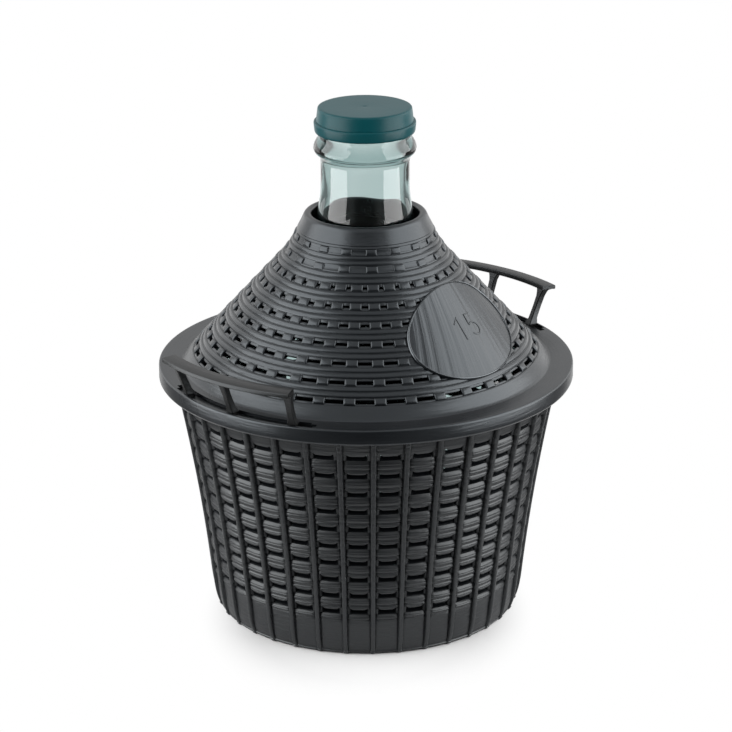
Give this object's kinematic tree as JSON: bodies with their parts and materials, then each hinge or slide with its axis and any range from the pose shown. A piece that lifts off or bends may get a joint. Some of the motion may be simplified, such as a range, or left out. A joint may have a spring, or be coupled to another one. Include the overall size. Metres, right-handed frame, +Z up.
{
  "type": "demijohn",
  "caption": "Glass demijohn with a push-on teal cap in a black moulded basket that imitates wicker, with a slotted conical cover and two handles",
  "frame": {"origin": "middle of the basket's underside", "axes": "+Z up; the two handles lie along +X and -X; the oval number plate faces -Y to within two degrees"},
  "size_m": [0.391, 0.359, 0.447],
  "materials": {
    "black_plastic": "satin moulded plastic, near black, with a woven pattern",
    "clear_glass": "clear glass with a pale blue-green tint",
    "teal_plastic": "smooth satin plastic, dark teal"
  },
  "bodies": {
    "base": {"basket": "black_plastic", "handle_right": "black_plastic", "handle_left": "black_plastic", "cover": "black_plastic", "demijohn": "clear_glass"},
    "cap": {"cap": "teal_plastic"}
  },
  "joints": [
    {"name": "cap_lift", "type": "slide", "parent": "base", "child": "cap", "axis": [0, 0, 1], "range_m": [0, 0.1]}
  ]
}
